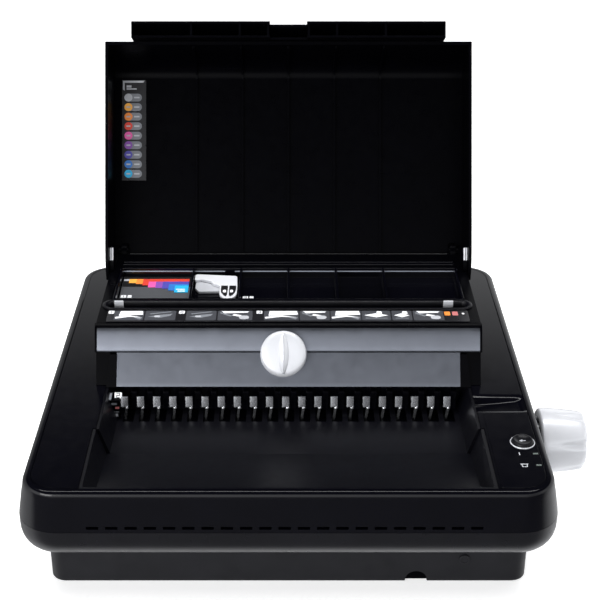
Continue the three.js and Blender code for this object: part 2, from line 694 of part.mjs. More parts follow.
add('hook_plate', hookPlate(), silver);
add('rack_left', rack(-178, -172), steel);
add('rack_right', rack(172, 178), steel);
add('opener_shaft', rod('x', opener.shaftRadius, -186, 239, opener.y, opener.z, 16), steel);
add('pinion_left', pinion(-178, -172), steel);
add('pinion_right', pinion(172, 178), steel);
add('opener_knob', openerKnob(), silver);
add('knob_collar', knobCollar(), blackSatin);

add('die_block', pinPlate(4, 14.3), steel);
add('guide_plate', pinPlate(19.7, 27), steel);
add('frame_plate_left', framePlate(-161.5, -158.5), steel);
add('frame_plate_right', framePlate(158.5, 161.5), steel);
add('punch_bar', punchBar(), steel);
add('cam_shaft', camShaft(), steel);
add('cam_gear', camGear(), paleGrey);
add('motor', motor(), steel);
add('motor_pinion', motorPinion(), steel);
add('depth_stop', depthStop(), steel);
add('depth_knob', depthKnobBody(), silver, slopeGroup).position.set(depthKnob.x, depthKnob.along, 0);

add('lid_shell', lidShell(), blackMatt, lidGroup);
add('lid_lip', lidLip(), blackMatt, lidGroup);
add('lid_label', box(-166, -142, -171, -71, lid.panelIn - 0.7, lid.panelIn - gap), print, lidGroup);
add('hinge_leaf_left', hingeLeaf(-172.3, -168.3), blackMatt, lidGroup);
add('hinge_leaf_right', hingeLeaf(168.3, 172.3), blackMatt, lidGroup);
add('hinge_pin_left', rod('x', 4, -172.2, -159, hinge.y, hinge.z, 16), blackMatt);
add('hinge_pin_right', rod('x', 4, 159, 172.2, hinge.y, hinge.z, 16), blackMatt);

add('punch_button', punchButton(), blackGloss).position.set(button.x, button.y, 0);
add('control_board', controlBoard(), boardGreen);
add('light_guide', lightGuide(), lampGreen);
add('circuit_board', circuitBoard(), boardGreen);
add('power_supply', powerSupply(), steel);
add('power_inlet', powerInlet(), blackSatin);
add('rocker_switch', rockerSwitch(), blackGloss);
add('chip_tray', chipTray(), panGrey);

screwPlaces.forEach(([x, y], i) => {
  add(`base_screw_${i + 1}`, baseScrew(), steel).position.set(x, y, 0);
});
footPlaces.forEach(([x, y], i) => {
  add(`foot_${i + 1}`, rod('z', 11, 0, pan.bottom - gap, x, y, 20), rubber);
});
add('foot_centre', rod('z', 14, 0, pan.bottom - gap, 0, 0, 24), rubber);

export default machine;
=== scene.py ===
# Looks of an electric comb binding machine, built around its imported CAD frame.
# Shapes are given in millimetres in the machine's own axes and stored in metres.
import json
import math

import bmesh
import bpy
from mathutils import Matrix, Vector


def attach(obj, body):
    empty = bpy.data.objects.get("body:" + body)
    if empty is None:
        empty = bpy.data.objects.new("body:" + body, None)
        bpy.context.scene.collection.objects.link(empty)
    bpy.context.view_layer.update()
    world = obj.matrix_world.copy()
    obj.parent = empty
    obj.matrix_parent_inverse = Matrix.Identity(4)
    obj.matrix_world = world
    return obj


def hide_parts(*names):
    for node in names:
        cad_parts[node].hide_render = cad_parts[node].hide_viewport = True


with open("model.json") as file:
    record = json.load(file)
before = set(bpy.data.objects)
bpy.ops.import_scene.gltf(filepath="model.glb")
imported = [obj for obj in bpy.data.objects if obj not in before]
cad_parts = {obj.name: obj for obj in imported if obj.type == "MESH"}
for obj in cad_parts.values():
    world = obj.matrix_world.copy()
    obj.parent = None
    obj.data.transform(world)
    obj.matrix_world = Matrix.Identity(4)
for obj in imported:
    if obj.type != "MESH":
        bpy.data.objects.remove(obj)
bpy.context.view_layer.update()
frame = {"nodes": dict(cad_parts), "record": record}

MM = 0.001
BODY_OF = {node: body for body, nodes in frame["record"]["behaviour"]["bodies"].items() for node in nodes}
SLOT_OF = {row["node"]: row["material_slot"] for row in frame["record"]["subparts"]}

# ---------------------------------------------------------------- driving dimensions, millimetres
DECK_HALF_WIDTH = 212.5
DECK_FRONT = -206
DECK_REAR = 206
DECK_TOP = 110
DECK_CORNER = 28
GROOVE_INSET = 6.9
SEAM = 74
SIDE_FLARE = 0.92
SIDE_BULGE = -6
FRONT_BULGE = -3.6
PAN = {"half": 199, "front": -178, "rear": 190, "corner": 12}
COMB_PITCH = 14.2875
COMB_TEETH = 21
FIRST_HOOK = -145.3
STRIP_TOP = 160.9
LABEL_FACE = 4.3
INK_DEPTH = 0.05
KNOB_CENTRE = (-75.5, 74)
COLLAR_SEAT = {"radius": 23.2, "face": 216.1}
BUTTON_CENTRE = (194, -134, 0)
LIGHT_ROWS = (-151, -167.5)

HERE = Matrix.Identity(4)
SLOPE = Matrix.Translation((0, -46, DECK_TOP)) @ Matrix.Rotation(math.radians(63), 4, "X")
LID = Matrix.Translation((0, 134, 160)) @ Matrix.Rotation(math.radians(-117), 4, "X")


# ---------------------------------------------------------------- shape helpers
def new_piece(name, mesh):
    piece = bpy.data.objects.new(name, mesh)
    bpy.context.scene.collection.objects.link(piece)
    return piece


def skin(name, points, faces, place=HERE):
    """A piece from points in millimetres, with its faces turned outwards."""
    mesh = bpy.data.meshes.new(name)
    mesh.from_pydata([place @ Vector(point) * MM for point in points], [], faces)
    shell = bmesh.new()
    shell.from_mesh(mesh)
    bmesh.ops.recalc_face_normals(shell, faces=shell.faces)
    shell.to_mesh(mesh)
    shell.free()
    return new_piece(name, mesh)


def loft(name, rings, place=HERE, endless=False):
    """Joins rings with the same count of points, capped at both ends or joined end to end."""
    count = len(rings[0])
    faces = []
    for level in range(len(rings) if endless else len(rings) - 1):
        low = level * count
        high = (level + 1) % len(rings) * count
        for i in range(count):
            j = (i + 1) % count
            faces.append((low + i, low + j, high + j, high + i))
    if not endless:
        last = (len(rings) - 1) * count
        faces.append(tuple(range(count)))
        faces.append(tuple(range(last, last + count)))
    return skin(name, [point for ring in rings for point in ring], faces, place)


def prism(name, direction, outline, start, end, place=HERE):
    """Extrudes an outline: (y, z) along x, (x, z) along y, or (x, y) along z."""
    turn = {
        "x": lambda a, b, c: (c, a, b),
        "y": lambda a, b, c: (a, c, b),
        "z": lambda a, b, c: (a, b, c),
    }[direction]
    return loft(name, [[turn(a, b, c) for a, b in outline] for c in (start, end)], place)


def rectangle(x0, x1, y0, y1):
    return [(x0, y0), (x1, y0), (x1, y1), (x0, y1)]


def block(name, x0, x1, y0, y1, z0, z1, place=HERE):
    return prism(name, "z", rectangle(x0, x1, y0, y1), z0, z1, place)


def plan(x0, x1, y0, y1, radii, segments=12):
    """A rounded rectangle; radii is one number or four, from front right round to front left."""
    if not isinstance(radii, tuple):
        radii = (radii,) * 4
    corners = [(x1, y0, -1, 1, -90), (x1, y1, -1, -1, 0), (x0, y1, 1, -1, 90), (x0, y0, 1, 1, 180)]
    points = []
    for radius, (x, y, inward_x, inward_y, start) in zip(radii, corners):
        for step in range(segments + 1):
            angle = math.radians(start + 90 * step / segments)
            points.append((
                x + inward_x * radius + radius * math.cos(angle),
                y + inward_y * radius + radius * math.sin(angle),
            ))
    return points


def circle(radius, sides=64, x=0, y=0):
    angles = [2 * math.pi * i / sides for i in range(sides)]
    return [(x + radius * math.cos(a), y + radius * math.sin(a)) for a in angles]


def turned(name, profile, place=HERE, sides=72, endless=False):
    """Turns a profile of (radius, height) points about the local z axis."""
    rings = [[(x, y, height) for x, y in circle(radius, sides)] for radius, height in profile]
    return loft(name, rings, place, endless)


def facing_x(x, y, z):
    """A place whose local z axis points along +x."""
    return Matrix.Translation((x, y, z)) @ Matrix.Rotation(math.radians(90), 4, "Y")


def facing_front(x, y, z):
    """A place whose local z axis points along -y."""
    return Matrix.Translation((x, y, z)) @ Matrix.Rotation(math.radians(90), 4, "X")


def bake(piece):
    """Applies the piece's modifiers to its mesh."""
    graph = bpy.context.evaluated_depsgraph_get()
    mesh = bpy.data.meshes.new_from_object(piece.evaluated_get(graph))
    rough = piece.data
    piece.modifiers.clear()
    piece.data = mesh
    bpy.data.meshes.remove(rough)
    return piece


def combine(piece, operation, tools):
    for tool in tools:
        step = piece.modifiers.new(operation, "BOOLEAN")
        step.operation = operation
        step.solver = "EXACT"
        step.object = tool
    bake(piece)
    for tool in tools:
        bpy.data.objects.remove(tool)
    return piece


def cut(piece, *tools):
    return combine(piece, "DIFFERENCE", tools)


def join(piece, *others):
    return combine(piece, "UNION", others)


def merged(name, pieces):
    """One piece from several that don't touch."""
    whole = bmesh.new()
    for piece in pieces:
        whole.from_mesh(piece.data)
        bpy.data.objects.remove(piece)
    mesh = bpy.data.meshes.new(name)
    whole.to_mesh(mesh)
    whole.free()
    return new_piece(name, mesh)


def shade(piece, crease=32):
    """Shades the piece smooth, apart from edges sharper than the crease angle."""
    piece.data.shade_smooth()
    piece.data.set_sharp_from_angle(angle=math.radians(crease))
    return piece


def soften(piece, width, segments=3, sharp=30):
    """Rounds every edge sharper than the given angle and keeps the flats flat."""
    clean = bmesh.new()
    clean.from_mesh(piece.data)
    bmesh.ops.remove_doubles(clean, verts=clean.verts, dist=2e-6)
    bmesh.ops.dissolve_limit(clean, angle_limit=math.radians(1), verts=clean.verts, edges=clean.edges)
    clean.to_mesh(piece.data)
    clean.free()
    piece.data.shade_smooth()
    bevel = piece.modifiers.new("edge", "BEVEL")
    bevel.width = width * MM
    bevel.segments = segments
    bevel.limit_method = "ANGLE"
    bevel.angle_limit = math.radians(sharp)
    bevel.use_clamp_overlap = True
    flats = piece.modifiers.new("flats", "WEIGHTED_NORMAL")
    flats.keep_sharp = True
    return bake(piece)


# ---------------------------------------------------------------- materials
def noise(tree, place, size_mm, detail, stretch=(1, 1, 1)):
    """A noise pattern whose blobs are about size_mm across."""
    spread = tree.nodes.new("ShaderNodeMapping")
    spread.inputs["Scale"].default_value = stretch
    pattern = tree.nodes.new("ShaderNodeTexNoise")
    pattern.inputs["Scale"].default_value = 1 / (size_mm * MM)
    pattern.inputs["Detail"].default_value = detail
    tree.links.new(place.outputs["Object"], spread.inputs["Vector"])
    tree.links.new(spread.outputs["Vector"], pattern.inputs["Vector"])
    return pattern


def spread_between(tree, pattern, low, high):
    """Maps a noise pattern onto values from low to high."""
    ramp = tree.nodes.new("ShaderNodeMapRange")
    ramp.inputs["From Min"].default_value = 0.3
    ramp.inputs["From Max"].default_value = 0.7
    ramp.inputs["To Min"].default_value = low
    ramp.inputs["To Max"].default_value = high
    tree.links.new(pattern.outputs["Fac"], ramp.inputs["Value"])
    return ramp


def material(name, color, roughness, metallic=0.0, grain=0.45, depth=0.012, variation=0.12,
             smudge=0.12, coat=0.0, stretch=(1, 1, 1), specular=0.5, glow=0.0):
    """Plastic, paint or metal: fine surface grain, soft colour variation and handling marks in the gloss."""
    made = bpy.data.materials.new(name)
    made.use_nodes = True
    tree = made.node_tree
    shader = tree.nodes["Principled BSDF"]
    place = tree.nodes.new("ShaderNodeTexCoord")

    tint = tree.nodes.new("ShaderNodeMix")
    tint.data_type = "RGBA"
    tint.inputs["A"].default_value = (*[c * (1 - variation) for c in color], 1)
    tint.inputs["B"].default_value = (*[min(1, c * (1 + variation)) for c in color], 1)
    clouds = spread_between(tree, noise(tree, place, size_mm=22, detail=4, stretch=stretch), 0, 1)
    tree.links.new(clouds.outputs["Result"], tint.inputs["Factor"])
    tree.links.new(tint.outputs["Result"], shader.inputs["Base Color"])

    marks = noise(tree, place, size_mm=9, detail=6, stretch=stretch)
    gloss = spread_between(tree, marks, roughness * (1 - smudge), min(1, roughness * (1 + smudge)))
    tree.links.new(gloss.outputs["Result"], shader.inputs["Roughness"])

    bump = tree.nodes.new("ShaderNodeBump")
    bump.inputs["Strength"].default_value = 0.5
    bump.inputs["Distance"].default_value = depth * MM
    surface = noise(tree, place, size_mm=grain, detail=3, stretch=stretch)
    tree.links.new(surface.outputs["Fac"], bump.inputs["Height"])
    tree.links.new(bump.outputs["Normal"], shader.inputs["Normal"])

    shader.inputs["Metallic"].default_value = metallic
    shader.inputs["Specular IOR Level"].default_value = specular
    shader.inputs["Coat Weight"].default_value = coat
    shader.inputs["Coat Roughness"].default_value = 0.08
    if glow:
        shader.inputs["Emission Color"].default_value = (*color, 1)
        shader.inputs["Emission Strength"].default_value = glow
    return made


MATERIALS = {
    "black_satin": material("black_satin", (0.0013, 0.0013, 0.0026), 0.14,
                            grain=0.5, depth=0.005, specular=0.22),
    "black_matt": material("black_matt", (0.0006, 0.0006, 0.0011), 0.30,
                           grain=0.5, depth=0.010, specular=0.03),
    "black_gloss": material("black_gloss", (0.0017, 0.0017, 0.0030), 0.36,
                            grain=1.5, depth=0.004, specular=0.20),
    "dark_grey": material("dark_grey", (0.0040, 0.0040, 0.0056), 0.30, grain=0.6, depth=0.02, specular=0.30),
    "pan_grey": material("pan_grey", (0.0075, 0.0076, 0.0096), 0.50, grain=0.7, depth=0.03, specular=0.26),
    "graphite": material("graphite", (0.150, 0.160, 0.186), 0.34, metallic=0.92, grain=0.25, depth=0.006,
                         variation=0.05),
    "silver": material("silver", (0.56, 0.57, 0.60), 0.32, metallic=0.15, grain=0.25, depth=0.004,
                       variation=0.03, coat=0.3),
    "hook_steel": material("hook_steel", (0.60, 0.61, 0.64), 0.24, metallic=0.95, grain=2.0, depth=0.02,
                           variation=0.15),
    "steel": material("steel", (0.42, 0.42, 0.44), 0.35, metallic=1.0, stretch=(0.1, 1, 1), depth=0.01),
    "rubber": material("rubber", (0.012, 0.012, 0.012), 0.8, grain=0.8, depth=0.05),
    "pale_grey": material("pale_grey", (0.60, 0.61, 0.64), 0.42, grain=0.5, depth=0.012, variation=0.05),
    "board": material("board", (0.02, 0.11, 0.045), 0.4, grain=1.2, depth=0.02, coat=0.3),
    "lamp": material("lamp", (0.10, 0.12, 0.11), 0.2, grain=1.0, depth=0.01, coat=0.5),
    "print": material("print", (0.0105, 0.0105, 0.0125), 0.3, grain=0.6, depth=0.004, variation=0.08),
    "chart": material("chart", (0.070, 0.073, 0.080), 0.35, grain=0.6, depth=0.004, variation=0.06),
}

INKS = {
    "white": (0.78, 0.79, 0.82),
    "pale": (0.42, 0.43, 0.46),
    "mid": (0.17, 0.18, 0.20),
    "dim": (0.045, 0.047, 0.055),
    "black": (0.006, 0.006, 0.007),
    "amber": (0.85, 0.40, 0.06),
    "orange": (0.80, 0.24, 0.04),
    "red": (0.62, 0.05, 0.03),
    "pink": (0.72, 0.10, 0.36),
    "purple": (0.22, 0.07, 0.36),
    "indigo": (0.07, 0.06, 0.34),
    "blue": (0.03, 0.16, 0.50),
    "cyan": (0.02, 0.38, 0.66),
    "rose": (0.45, 0.14, 0.14),
}
INK = {
    name: material(f"ink_{name}", color, 0.45, grain=0.35, depth=0.003, variation=0.07)
    for name, color in INKS.items()
}


# ---------------------------------------------------------------- how pieces join the frame
def paint(piece, finish):
    piece.data.materials.clear()
    piece.data.materials.append(finish)
    return piece


def stand_for(piece, *nodes):
    """The piece rides with the nodes it stands for and takes their slot's finish."""
    slot = SLOT_OF[nodes[0]]
    paint(piece, MATERIALS[slot])
    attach(piece, BODY_OF[nodes[0]])
    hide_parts(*nodes)
    return piece


def trim(piece, body, finish):
    """A small extra piece on a body."""
    paint(piece, finish)
    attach(piece, body)
    return piece


def refine(node, width, segments=2, sharp=30):
    """The node's own shape with rounded edges."""
    piece = new_piece(f"{node}_shape", frame["nodes"][node].data.copy())
    soften(piece, width, segments, sharp)
    return stand_for(piece, node)


# ---------------------------------------------------------------- casings
def casing_ring(z, side, front=None, rear=None, segments=14):
    front = side if front is None else front
    rear = side if rear is None else rear
    radius = DECK_CORNER - min(side, front)
    half = DECK_HALF_WIDTH - side
    outline = plan(-half, half, DECK_FRONT + front, DECK_REAR - rear, radius, segments)
    return [(x, y, z) for x, y in outline]


def shaft_hole():
    """Cuts the side wall for the opener shaft."""
    return turned("hole", [(7, -10), (7, 10)], facing_x(211, *KNOB_CENTRE))


def collar_seat():
    """Cuts a shallow round seat in the side wall, in which the knob's collar turns."""
    radius = COLLAR_SEAT["radius"]
    return turned("seat", [(radius, 0), (radius, 10)], facing_x(COLLAR_SEAT["face"], *KNOB_CENTRE))


def flared(inset):
    """The side walls stand further out than the front wall wherever they pass the deck's outline."""
    return inset + SIDE_FLARE * min(0, inset + 1)


def casing_rim():
    """The flared wall with a rolled top edge; its inner lip leaves a fine groove round the deck plate."""
    section = [
        (74.3, FRONT_BULGE), (79, -3.2), (84, -2.7), (94, -1.8), (102, -0.8), (106, -0.2), (108, 0.5),
        (109.2, 1.5), (109.8, 2.7), (110, 4.2), (110, 6.0), (109.7, 6.3), (107.4, 6.4), (107.4, 9),
        (105.5, 9), (105.5, 2.9), (92, 0.6), (74.3, -1.0),
    ]
    rings = [casing_ring(z, flared(inset), inset, flared(inset)) for z, inset in section]
    rim = loft("casing_rim", rings, endless=True)
    vents = [
        prism("vent", "y", rectangle(x - 4.85, x + 4.85, 77.2, 79.8), -216, -198)
        for x in (-155 + 15.2 * i for i in range(21))
    ]
    cut(rim, merged("vents", vents), shaft_hole(), collar_seat())
    return stand_for(shade(rim), "upper_casing")


def deck_groove():
    """Cuts the cross groove on the right, deepest beside the recess and running out before the rim."""
    section = [
        (-56.5, 112), (-56.5, DECK_TOP - 0.1), (-59, 109.7), (-61, 109), (-62.6, 107.6), (-63.6, 105.6),
        (-65, 103.9), (-67, 103.3), (-81, 103.3), (-82.8, 103.9), (-83.8, 105.3), (-84.3, 107.4),
        (-84.9, 109), (-85.7, 109.7), (-87, DECK_TOP - 0.1), (-87, 112),
    ]
    rings = []
    for x, share in ((150, 1), (162, 1), (180, 0.78), (198, 0.5), (203, 0.3), (206.5, -0.1)):
        rings.append([(x, y, z if z > DECK_TOP else DECK_TOP - 0.1 - (DECK_TOP - 0.1 - z) * share)
                      for y, z in section])
    return loft("groove", rings)


def deck_plate():
    plate = loft("deck_plate", [casing_ring(107, GROOVE_INSET), casing_ring(109.9, GROOVE_INSET)])
    join(plate, block("boss", 160, 205.2, -93, -51, 99, 108.5))
    recess = prism("recess", "z", [
        (-165.2, -200.5), (165.2, -200.5), (165.2, -112), (162.5, -112), (162.5, 192), (-162.5, 192),
        (-162.5, -112), (-165.2, -112),
    ], 90, 120)
    pocket = prism("pocket", "z", plan(167.1, 230, -230, -89.7, (3, 3, 2.4, 3)), 108.4, 120)
    button_hole = turned("hole", [(9.6, 100), (9.6, 120)], Matrix.Translation(BUTTON_CENTRE))
    light_holes = [block("hole", 199.4, 204.6, y - 1.2, y + 1.2, 100, 120) for y in LIGHT_ROWS]
    cut(plate, recess, deck_groove(), pocket, button_hole, *light_holes)
    soften(plate, 0.7, 3, 40)
    return stand_for(plate, "upper_casing")


def lower_casing():
    """The quarter-round bottom edge runs in further at the front than at the sides."""
    section = [(SEAM, SIDE_BULGE, FRONT_BULGE), (70, SIDE_BULGE, FRONT_BULGE)]
    for degrees in range(0, 91, 9):
        angle = math.radians(degrees)
        drop = 24 * math.sin(angle)
        run = 1 - math.cos(angle)
        section.append((66 - drop, 15.9 * run + SIDE_BULGE, 27 * run + FRONT_BULGE))
    section += [(42, 34, 50), (44.6, 34, 50), (44.6, 12.5, 26), (66, -1, -1), (SEAM, -1, -1)]
    rings = [casing_ring(z, side, front, side) for z, side, front in section]
    shell = loft("lower_casing_shape", rings, endless=True)
    cut(shell, shaft_hole(), collar_seat())
    return stand_for(shade(shell), "lower_casing")


def base_pan():
    """The pan with an arch at the front, an opening for the chip tray and a small round cap."""
    section = [
        (3, 9), (3, 4.6), (0.5, 4.4), (0.4, 1.6), (0.6, 0.9), (1.1, 0.4), (1.8, 0.1), (3, 0), (41.2, 0),
        (41.7, 0.5), (41.7, 2.6), (8, 2.6), (4.6, 4), (4.4, 9),
    ]
    rings = []
    for z, inset in section:
        half = PAN["half"] - inset
        outline = plan(-half, half, PAN["front"] + inset, PAN["rear"] - inset, PAN["corner"], 10)
        rings.append([(x, y, z) for x, y in outline])
    tub = loft("base_pan_shape", rings)
    arch = turned("arch", [(9.2, -12), (9.2, 12)], facing_front(106.6, -180, 2))
    door = block("door", -205, -190, -43, 63, 7, 39)
    cut(tub, arch, door)
    stand_for(shade(tub), "base_pan")
    # A black block behind the arch is painted shade: it keeps the inside of the opening dark.
    arch_shade = block("arch_painted_shade", 95, 118, -176.4, -174.6, 2.2, 14)
    trim(arch_shade, "base", MATERIALS["black_matt"])
    dome = [(4.6, -1), (4.6, 1.2), (4.3, 1.6), (3.6, 1.8), (3.2, 1.75), (2.9, 1.3), (0.4, 1.3)]
    cap = turned("base_cap", dome, facing_front(146, -178, 24))
    trim(shade(cap), "base", MATERIALS["pan_grey"])


# ---------------------------------------------------------------- control panel
def control_panel():
    outline = plan(167.4, 205.6, -199.1, -90, (21.1, 2, 2, 2), 14)
    plate = prism("control_panel_shape", "z", outline, 108.7, DECK_TOP)
    hole = turned("hole", [(9.9, 100), (9.9, 120)], Matrix.Translation(BUTTON_CENTRE))
    lights = [block("hole", 199.6, 204.4, y - 1, y + 1, 100, 120) for y in LIGHT_ROWS]
    cut(plate, hole, *lights)
    soften(plate, 0.3, 2, 40)
    stand_for(plate, "control_panel")
    ring = turned("button_ring", [
        (9.4, 109), (10.3, 109), (10.35, 110.1), (10.15, 110.6), (9.85, 110.8), (9.55, 110.6), (9.35, 110.1),
    ], Matrix.Translation(BUTTON_CENTRE), endless=True)
    trim(shade(ring, 50), "base", MATERIALS["silver"])
    button = turned("punch_button_shape", [
        (2.5, 96.8), (2.5, 105), (8.8, 105), (8.9, 111.2), (8.6, 112.4), (8.0, 113.0), (7.3, 113.2),
        (6.6, 113.0), (5.4, 112.3), (3.6, 111.8), (1.6, 111.6), (0.3, 111.6),
    ], Matrix.Translation(BUTTON_CENTRE))
    stand_for(shade(button), "punch_button")


def panel_icons():
    """A small upright stroke beside the power light and a bin outline beside the bin light."""
    low, high = DECK_TOP, DECK_TOP + 0.06
    power_row, bin_row = LIGHT_ROWS
    stroke = block("mark", 188.4, 189.2, power_row - 2, power_row + 2, low, high)
    bin_outline = [(-3.2, 2), (3.2, 2), (3.2, 1), (2.6, 1), (2.1, -2.6), (-2.1, -2.6), (-2.6, 1), (-3.2, 1)]
    bin_inside = [(-1.8, 1), (1.8, 1), (1.4, -1.9), (-1.4, -1.9)]
    place = Matrix.Translation((190.5, bin_row, 0))
    outline = prism("bin_icon", "z", bin_outline, low, high, place)
    cut(outline, prism("tool", "z", bin_inside, low - 1, low + 1, place))
    icon = merged("panel_icons", [stroke, outline])
    trim(icon, "base", INK["pale"])
    arrow = [(-3.4, -0.4), (0.2, 1.8), (-0.4, 0.4), (3.2, 0.4), (3.2, -0.5), (-0.6, -0.5), (-0.4, -1.8)]
    mark = prism("button_icon", "z", arrow, 111.62, 111.7, Matrix.Translation(BUTTON_CENTRE))
    trim(mark, "punch_key", INK["pale"])


# ---------------------------------------------------------------- sloping hood, knobs
def hood_lip():
    """The grey lip with a rolled top, in a black edging along its top and both ends. The black along the top
    is painted shade: it covers the top of the lip's roll, so that band reads dark and shows no highlight; the
    black ends frame the lip.
    """
    crown = [
        (57.5, -3), (57.5, -2.9), (57.1, -2.3), (56.4, -1.6), (55.4, -0.9), (54.2, -0.25), (52.9, 0.22),
        (51.5, 0.52), (50, 0.7), (47, 0.85), (43, 0.92), (38, 0.88), (34.4, 0.74), (32.8, 0.5), (32.0, 0.1),
        (31.7, -0.5), (31.7, -3),
    ]
    lip = prism("hood_lip_shape", "x", crown, -170.2, 170.2, SLOPE)
    soften(lip, 0.5, 3, 50)
    stand_for(lip, "hood_lip")
    edge = [
        (57.7, -3), (57.7, -2.5), (57.2, -1.8), (56.4, -1.1), (55.4, -0.4), (54.2, 0.2), (53.3, 0.45),
        (53.1, 0.1), (53.1, -3),
    ]
    end = [(31.3, -3), (57.7, -3), (57.5, -2), (54.6, 0.1), (52, 0.7), (31.3, 0.7)]
    # Black edging: painted shade over the top of the lip's roll, with the black frame at both ends.
    edging = prism("hood_edging_painted_shade", "x", edge, -172, 172, SLOPE)
    join(edging, prism("end", "x", end, -172.2, -170.3, SLOPE), prism("end", "x", end, 170.3, 172.2, SLOPE))
    trim(shade(edging), "base", MATERIALS["black_matt"])


def hood_panel():
    """The panel bows slightly and leans back under the lip."""
    foot, top = 0.8, 31.4
    bow = [(foot, -3)]
    for step in range(9):
        along = foot + 30.6 * step / 8
        bow.append((along, -2 * (along / top) ** 1.3))
    bow.append((top, -3))
    panel = prism("hood_panel_shape", "x", bow, -153, 153, SLOPE)
    soften(panel, 0.35, 3, 50)
    return stand_for(panel, "hood_panel")


def depth_knob():
    """A round disc with a leaf-shaped grip across it, a crest and a pointer dot. The grip's grey tint is
    painted shade for its steep sides, and the silver crest is a painted highlight along the grip's top.
    """
    place = SLOPE @ Matrix.Translation((-4.5, 30.3, 0))
    disc = turned("depth_knob_shape", [
        (19.4, 1.6), (20.2, 2.0), (20.5, 2.9), (20.5, 6.2), (20.35, 7.1), (19.9, 8.0), (19.1, 8.8),
        (18.0, 9.4), (16.5, 9.8), (14.5, 10.05), (12, 10.2), (0.5, 10.3),
    ], place, 96)
    stand_for(shade(disc), "depth_knob")
    rings = []
    steps = 28
    for step in range(steps + 1):
        t = 2 * step / steps - 1
        width = 4.8 * (1 - abs(t) ** 2.2) + 0.35
        height = 3.7 * (1 - abs(t) ** 4) + 0.05
        shoulder = 10.4 + height * 0.34
        upper = 10.2 + height * 0.84
        section = [(-width, 10), (-width * 0.62, shoulder), (-width * 0.2, upper), (0, 10.2 + height),
                   (width * 0.2, upper), (width * 0.62, shoulder), (width, 10), (width, 9), (-width, 9)]
        rings.append([(x, 18.6 * t, z) for x, z in section])
    # The grip is tinted pale grey as painted shade on its steep sides.
    grip = loft("depth_knob_grip_painted_shade", rings, place)
    trim(shade(grip, 50), "margin_knob", MATERIALS["pale_grey"])
    rings = []
    for step in range(21):
        t = step / 10 - 1
        width = 0.8 * (1 - t * t) + 0.1
        rise = 1 - t ** 4
        rings.append([(-width, 17 * t, 12.2 + 1.5 * rise), (0, 17 * t, 12.9 + 1.3 * rise),
                      (width, 17 * t, 12.2 + 1.5 * rise), (0, 17 * t, 10.2)])
    # The silver crest is a painted highlight: the bright line along the grip's top.
    crest = loft("depth_knob_crest_painted_highlight", rings, place)
    trim(shade(crest, 60), "margin_knob", MATERIALS["silver"])
    mark = prism("depth_knob_mark", "z", circle(1, 24, 0, -16.7), 10.0, 11.3, place)
    trim(mark, "margin_knob", INK["mid"])


def opener_knob():
    """A tapering hand wheel; six wedge-shaped notches deepen towards its outer end."""
    levels = [
        (219, 25.4), (219.4, 26.8), (220.2, 27.8), (221.6, 28.4), (226, 28.5), (232, 28.2), (238, 27.7),
        (244, 27.1), (250, 26.4), (254, 25.8), (256, 25.2), (257.4, 24.2), (258.3, 22.6), (258.7, 20.5),
    ]
    sides = 180
    first_notch = math.radians(157)
    rings = []
    for x, radius in levels:
        outwards = max(0.0, min(1.0, (x - 231) / 24))
        depth = 2.6 * outwards ** 0.9
        spread = math.radians(3 + 9 * outwards)
        ring = []
        for i in range(sides):
            angle = 2 * math.pi * i / sides
            away = (angle - first_notch + math.pi / 6) % (math.pi / 3) - math.pi / 6
            notch = depth * max(0.0, 1 - abs(away) / spread)
            ring.append((x, KNOB_CENTRE[0] + (radius - notch) * math.cos(angle),
                         KNOB_CENTRE[1] + (radius - notch) * math.sin(angle)))
        rings.append(ring)
    wheel = loft("opener_knob_shape", rings)
    return stand_for(shade(wheel, 26), "opener_knob")


# ---------------------------------------------------------------- top of the housing
def throat_rim():
    """The rolled rim round the paper slot."""
    section = [
        (160.3, 0), (160.9, 0.05), (161.2, 0.4), (161.3, 0.9), (161.3, 2.6), (161.2, 3.4), (160.8, 4.2),
        (160, 4.6), (150, 4.9), (148, 4.9), (148, 3.4), (160.3, 3.4),
    ]
    rings = []
    for z, inset in section:
        outline = plan(inset - 170, 168 - inset, 7 + inset, 27 - inset, 9.9 - inset, 14)
        rings.append([(x, y, z) for x, y in outline])
    rim = loft("throat_rim_shape", rings, endless=True)
    return stand_for(shade(rim), "throat_rim")


def rear_ridges():
    """Two low ridges across the top between the storage cells and the lid's hinge line."""
    bars = [block("ridge", -160.5, 160.5, y, y + 2.2, 159.9, 161) for y in (101.8, 107)]
    ridges = merged("rear_ridges", bars)
    soften(ridges, 0.45, 3, 40)
    return trim(ridges, "base", MATERIALS["black_satin"])


def cell_edge_highlights():
    """A narrow graphite edging along the top of each cell's rear wall: a painted highlight for the light
    caught on the black wall's top edge.
    """
    side = [(94.9, 156.4), (95.9, 158.8), (96.4, 158.8), (96.4, 156.2)]
    cells = [
        (-167.8, -92.6), (-90.2, -61.5), (-51.8, -46.9), (-44.5, -1.2), (1.2, 44.5), (46.9, 90.2),
        (92.6, 167.8),
    ]
    bars = [prism("bar", "x", side, left, right) for left, right in cells]
    return trim(merged("cell_edge_highlights", bars), "base", MATERIALS["graphite"])


